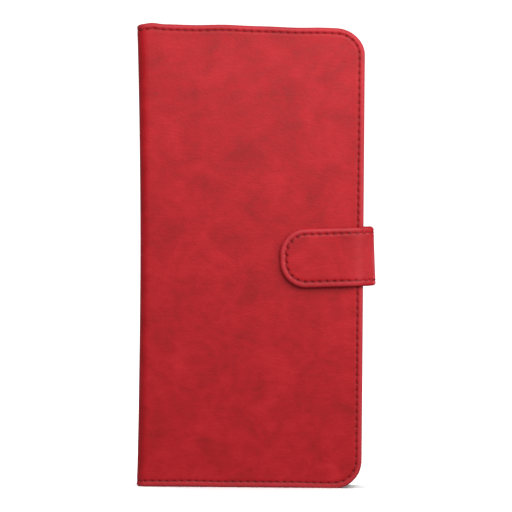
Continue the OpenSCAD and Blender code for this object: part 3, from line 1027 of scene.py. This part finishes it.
class WALLET_OT_linings(bpy.types.Operator):
    """Lays the microfibre lining inside both covers and across the spine"""
    bl_idname = "wallet.linings"
    bl_label = "Linings"

    def execute(self, context):
        front = lining_sheet("front_lining_cloth", front_fold(), 1.0 * MM)
        back = lining_sheet("back_lining_cloth", back_fold(), 1.0 * MM)
        cut_window(back, 0.3 * MM)
        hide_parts("front_lining", "spine_lining")
        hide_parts("back_lining")
        blend_cover(front, -1)
        blend_cover(back, 1)
        front_fold()
        back_fold()
        return {"FINISHED"}


class WALLET_OT_cover_stitches(bpy.types.Operator):
    """Sews round the covers' edges"""
    bl_idname = "wallet.cover_stitches"
    bl_label = "Cover stitches"

    def execute(self, context):
        front = border_stitches("front_stitches", front_fold(), still, -0.24 * MM, 0.3 * MM, 3)
        back = border_stitches("back_stitches", back_fold(), still, -0.24 * MM, 0.3 * MM, 4)
        fold = front_fold()
        note_from = fold.flat_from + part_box("note_pocket")[0].x - ROLL_X
        note_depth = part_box("note_pocket")[1].y - FRONT_Y

        def inside(run, z):
            on_note = smooth(run, note_from - 0.6 * MM, note_from + 0.6 * MM)
            return fold.inner(run) * (1 - on_note) + note_depth * on_note

        front_inner = border_stitches("front_inner_stitches", fold, inside, -0.12 * MM, 0.3 * MM, 6, -1)
        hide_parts("front_seam_thread")
        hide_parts("back_seam_thread")
        blend_cover(front, -1)
        blend_cover(front_inner, -1)
        blend_cover(back, 1)
        return {"FINISHED"}


class WALLET_OT_strap(bpy.types.Operator):
    """Makes the strap's leather and lining, in two halves that meet in the middle of its bridge"""
    bl_idname = "wallet.strap"
    bl_label = "Strap"

    def execute(self, context):
        def puff(run, z):
            tab = tab_fold()
            middle = tab.flat_from + STRAP_X - BEND_R - MAGNET_MIDDLE.x
            return 0.08 * MM * (1 - smooth(np.hypot(run - middle, z - STRAP_Z), 5.5 * MM, 9 * MM))

        tab = leather_sheet("strap_tab_leather", tab_fold(), 0.4 * MM, STRAP_HOLE, puff)
        root = leather_sheet("strap_root_leather", root_fold(), 0.4 * MM, STRAP_HOLE, still)
        tab_under = lining_sheet("strap_tab_cloth", tab_fold(), 0.8 * MM)
        root_under = lining_sheet("strap_root_cloth", root_fold(), 0.8 * MM)
        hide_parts("strap_tab_skin", "strap_bridge_skin")
        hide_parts("strap_root")
        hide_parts("strap_tab_lining", "strap_bridge_lining")
        for piece, side in ((tab, -1), (root, 1), (tab_under, -1), (root_under, 1)):
            blend_strap(piece, side)
        for piece, fold, thickness in (
                (tab, tab_fold(), STRAP_T), (root, root_fold(), STRAP_T), (tab_under, tab_fold(), 0),
                (root_under, root_fold(), 0)):
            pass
        return {"FINISHED"}


class WALLET_OT_strap_stitches(bpy.types.Operator):
    """Sews round the strap's edges"""
    bl_idname = "wallet.strap_stitches"
    bl_label = "Strap stitches"

    def execute(self, context):
        for part, fold, seed in (("tab", tab_fold(), 5), ("root", root_fold(), 9)):
            name = f"strap_{part}_stitches"
            outer = border_stitches(name, fold, still, -0.18 * MM, 0.36 * MM, seed)
            under = border_stitches("under_" + name, fold, strap_inside, -0.16 * MM, 0.3 * MM, seed + 2, -1)
            if part == "tab":
                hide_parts("strap_seam_thread")
            blend_strap(outer, fold.side)
            blend_strap(under, fold.side)
        return {"FINISHED"}


def strap_inside(run, z):
    """The depth of the strap's inner face."""
    return np.full(np.shape(run), STRAP_T)


class WALLET_OT_pockets(bpy.types.Operator):
    """Makes the note pocket and the stepped card pockets"""
    bl_idname = "wallet.pockets"
    bl_label = "Pockets"

    def execute(self, context):
        for name in ("note_pocket", "card_pocket_1", "card_pocket_2", "card_pocket_3"):
            low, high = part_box(name)
            far_r = CORNER_R - 1.2 * MM if name == "note_pocket" else POCKET_R
            piece = pocket_panel(name + "_panel", low, high, far_r)
            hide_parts(name)
            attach(piece, "front_cover")
        rows = pocket_stitches()
        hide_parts("pocket_seam_thread")
        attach(rows, "front_cover")
        return {"FINISHED"}


def pocket_stitches():
    """Sews the card pockets' top and bottom ends down, stepping up at each pocket's mouth."""
    seam = bpy.context.scene.wallet_seam
    boxes = [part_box(f"card_pocket_{k}") for k in (1, 2, 3)]
    thread_low, thread_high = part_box("pocket_seam_thread")
    first, last = thread_low.x, thread_high.x
    count = round((last - first) / seam.pitch)
    pitch = (last - first) / count
    radius = seam.thread / 2

    def place(along, aside, height):
        lower = along > count * pitch
        x = first + along - np.where(lower, count * pitch, 0)
        y = boxes[0][1].y
        for before, after in zip(boxes, boxes[1:]):
            y = y + (after[1].y - before[1].y) * smooth(x, after[0].x - 0.8 * MM, after[0].x + 0.2 * MM)
        z = np.where(lower, thread_low.z + radius, thread_high.z - radius) + aside
        return np.stack([x, y + height, z], axis=-1)

    return stitches("pocket_stitches", place, pitch, 2 * count, 0.02 * MM, 0.3 * MM, 8)


def pocket_panel(name, low, high, far_r):
    """A pocket panel, with rounded edges, and a crease along its mouth on the spine side. Its colour has
    painted shade along the crease and a lighter mouth edge, partly a rubbed edge and partly a painted
    highlight.
    """
    rows = 6
    crease_in = 1.6 * MM
    insets = [0.45 * MM, 0.2 * MM]
    level = [0.0, 0.0]
    for k in range(rows + 1):
        turn = math.pi * k / rows
        insets.append(0.2 * MM * (1 - math.sin(turn)))
        level.append((1 - math.cos(turn)) / 2)
    insets += [0.3 * MM, 0.5 * MM, 0.8 * MM]
    level += [1.0, 1.0, 1.0]
    flat, row_of, faces = ringed_sheet(
        (low.x, low.z), (high.x, high.z), (far_r, far_r, POCKET_R, POCKET_R), insets, 0.6 * MM, closed=True)
    x, z = flat.T
    share = np.array(level)[row_of]
    from_mouth = x - low.x
    relief = 0.14 * MM * hill(from_mouth, crease_in, 0.3 * MM)
    sag = 0.08 * MM * np.sin(z / (17 * MM)) * (1 - smooth(from_mouth, 0, 9 * MM))
    y = high.y - POCKET_T * (1 - share) - share * (relief - sag)
    bm = bmesh.new()
    made = [bm.verts.new(p) for p in np.stack([x, y, z], axis=1)]
    for face in faces:
        bm.faces.new([made[i] for i in face])
    bm.normal_update()
    bmesh.ops.holes_fill(bm, edges=bm.edges[:])
    bmesh.ops.recalc_face_normals(bm, faces=bm.faces[:])
    mesh = bpy.data.meshes.new(name)
    bm.to_mesh(mesh)
    bm.free()
    piece = piece_of(name, mesh, leather_finish())
    place = np.array([v.co for v in mesh.vertices])
    shown = smooth(place[:, 1], high.y - 0.5 * MM, high.y - 0.25 * MM)
    # Painted shade along the pocket's crease, where the face shows.
    crease = hill(place[:, 0] - low.x, crease_in, 0.3 * MM) * shown
    # The mouth's edge is made lighter, partly a rubbed edge and partly a painted highlight.
    mouth = 0.6 * (1 - smooth(place[:, 0] - low.x, 0.4 * MM, 1.1 * MM))
    keep_vectors(mesh, "flat", place[:, [0, 2, 1]] + np.array([high.y, low.x, 0]) * 9)
    keep_vectors(mesh, "marks", np.stack([crease * 2.0, np.zeros(len(place)), mouth], axis=1))
    return piece


class WALLET_OT_phone_tray(bpy.types.Operator):
    """Rounds the tray's and keys' edges and gives them their plastic"""
    bl_idname = "wallet.phone_tray"
    bl_label = "Phone tray"

    def execute(self, context):
        for name, width in (("phone_tray", 0.35 * MM), ("volume_key", 0.2 * MM), ("power_key", 0.2 * MM)):
            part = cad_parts[name]
            paint(part, material_of("TPU, moulded and spark textured", moulded_tpu))
            weld = part.modifiers.new("weld", "WELD")
            weld.merge_threshold = 0.001 * MM
            bevel = part.modifiers.new("soft edges", "BEVEL")
            bevel.width = width
            bevel.segments = 3
            bevel.limit_method = "ANGLE"
            bevel.angle_limit = math.radians(40)
            bevel.use_clamp_overlap = True
        return {"FINISHED"}


def paint(part, material):
    """Gives a CAD part one material."""
    part.data.materials.clear()
    part.data.materials.append(material)


class WALLET_OT_boards_and_magnets(bpy.types.Operator):
    """Gives the hidden boards, keeper disc and magnet their materials"""
    bl_idname = "wallet.boards_and_magnets"
    bl_label = "Boards and magnets"

    def execute(self, context):
        board = material_of("Greyboard, pressed", greyboard)
        plate = material_of("Steel, nickel plated", nickel_plate)
        for name in ("front_board", "back_board"):
            paint(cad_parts[name], board)
        bowed = bowed_board(board)
        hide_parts("spine_board")
        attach(bowed, "spine")
        for name in ("keeper_disc", "strap_magnet"):
            paint(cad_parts[name], plate)
        return {"FINISHED"}


def bowed_board(material):
    """The spine's board, bowed as the spine is."""
    low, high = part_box("spine_board")
    fold = front_fold()
    half, outer, inner, soft = (high.y - low.y) / 2, low.x - SPINE_X, high.x - SPINE_X, 0.12 * MM
    section = np.array([
        (soft - half, outer), (half - soft, outer), (half, outer + soft), (half, inner - soft),
        (half - soft, inner), (soft - half, inner), (-half, inner - soft), (-half, outer + soft)])
    rings, around = 61, len(section)
    z = np.repeat(np.linspace(low.z, high.z, rings), around)
    run, depth = np.tile(section, (rings, 1)).T
    points = fold.place(run, depth, z)
    faces = [tuple(range(around)), tuple(range((rings - 1) * around, rings * around))[::-1]]
    for k in range(rings - 1):
        for j in range(around):
            a, b = k * around + j, k * around + (j + 1) % around
            faces.append((a, a + around, b + around, b))
    return piece_of("spine_board_bowed", mesh_of("spine_board_bowed", points, faces), material, 40)


class WALLET_OT_stage(bpy.types.Operator):
    """Sets up the floor, the soft lights and the camera"""
    bl_idname = "wallet.stage"
    bl_label = "Stage"

    def execute(self, context):
        scene = context.scene
        stage = scene.wallet_stage
        scene.view_settings.view_transform = "Standard"
        scene.view_settings.look = "None"
        floor = backdrop()
        world = bpy.data.worlds.new("studio")
        scene.world = world
        world.use_nodes = True
        background = world.node_tree.nodes["Background"]
        background.inputs["Color"].default_value = (1, 1, 1, 1)
        background.inputs["Strength"].default_value = 0.32
        case_only = bpy.data.collections.new("case only")
        case_only.objects.link(floor)
        case_only.collection_objects[0].light_linking.link_state = "EXCLUDE"
        floor_only = bpy.data.collections.new("floor only")
        floor_only.objects.link(floor)
        for name, place, size, power, aim, lit in (
                ("key", (0.08, -0.32, 0.3), 0.3, 1.25, (0, 0, 0.085), case_only),
                ("side", (0.56, -0.34, 0.25), 0.3, 1.15, (0, 0, 0.085), case_only),
                ("rear", (-0.35, 0.6, 0.35), 0.5, 4.5, (0, 0, 0.085), case_only),
                ("backdrop", (0.0, 0.5, 1.2), 1.6, 26.0, (0, 0.9, 0.2), floor_only),
                ("floor", (0.0, -0.1, 1.0), 1.0, 9.0, (0, 0.0, 0.0), floor_only)):
            light = area_light(name, place, size, power, aim)
            light.light_linking.receiver_collection = lit
            light.visible_glossy = name != "rear"
        data = bpy.data.cameras.new("camera")
        camera = bpy.data.objects.new("camera", data)
        scene.collection.objects.link(camera)
        data.sensor_width = SENSOR
        data.lens = data.sensor_width * stage.distance / stage.frame_height
        data.clip_end = 20
        camera.location = (CAMERA_X, FRONT_Y - stage.distance, CAMERA_Z)
        camera.rotation_euler = (math.pi / 2, stage.roll, 0)
        scene.camera = camera
        return {"FINISHED"}


def backdrop():
    """A pale floor that sweeps up behind the case."""
    reach, behind, curve, height = 2.2, 1.0, 0.4, 2.4
    profile = [(-2.5, 0.0), (behind, 0.0)]
    for k in range(1, 17):
        turn = math.pi / 2 * k / 16
        profile.append((behind + curve * math.sin(turn), curve * (1 - math.cos(turn))))
    profile.append((behind + curve, height))
    points = [(x, y, z) for y, z in profile for x in (-reach, reach)]
    faces = [(2 * i, 2 * i + 1, 2 * i + 3, 2 * i + 2) for i in range(len(profile) - 1)]
    mesh = bpy.data.meshes.new("floor")
    mesh.from_pydata(points, [], faces)
    mesh.shade_smooth()
    mesh.materials.append(material_of("Studio paper, uncoated", studio_paper))
    floor = show("floor", mesh)
    floor.visible_diffuse = False
    floor.visible_glossy = False
    return floor


def area_light(name, place, size, power, aim):
    """A square soft box that looks at a point."""
    data = bpy.data.lights.new(name, "AREA")
    data.size = size
    data.energy = power
    light = bpy.data.objects.new(name, data)
    bpy.context.scene.collection.objects.link(light)
    light.location = place
    light.rotation_euler = (Vector(aim) - Vector(place)).to_track_quat("-Z", "Y").to_euler()
    return light


STEPS = (
    WALLET_OT_stage,
    WALLET_OT_cover_leather,
    WALLET_OT_linings,
    WALLET_OT_cover_stitches,
    WALLET_OT_strap,
    WALLET_OT_strap_stitches,
    WALLET_OT_pockets,
    WALLET_OT_phone_tray,
    WALLET_OT_boards_and_magnets,
)


class WALLET_PT_panel(bpy.types.Panel):
    """Lists the steps and settings of the wallet case"""
    bl_idname = "WALLET_PT_panel"
    bl_label = "Phone wallet case"
    bl_space_type = "VIEW_3D"
    bl_region_type = "UI"
    bl_category = "Wallet case"

    def draw(self, context):
        for step in STEPS:
            self.layout.operator(step.bl_idname)
        for group in (context.scene.wallet_leather, context.scene.wallet_seam, context.scene.wallet_stage):
            box = self.layout.box()
            for name in group.__annotations__:
                box.prop(group, name)


SETTINGS = {"wallet_leather": LeatherSettings, "wallet_seam": SeamSettings, "wallet_stage": StageSettings}


def register():
    for cls in (*SETTINGS.values(), *STEPS, WALLET_PT_panel):
        bpy.utils.register_class(cls)
    for name, group in SETTINGS.items():
        setattr(bpy.types.Scene, name, bpy.props.PointerProperty(type=group))


def unregister():
    for name in SETTINGS:
        delattr(bpy.types.Scene, name)
    for cls in (WALLET_PT_panel, *reversed(STEPS), *reversed(SETTINGS.values())):
        bpy.utils.unregister_class(cls)


def main():
    """Builds every piece."""
    register()
    for step in STEPS:
        group, name = step.bl_idname.split(".")
        getattr(getattr(bpy.ops, group), name)()


if __name__ == "__main__":
    main()
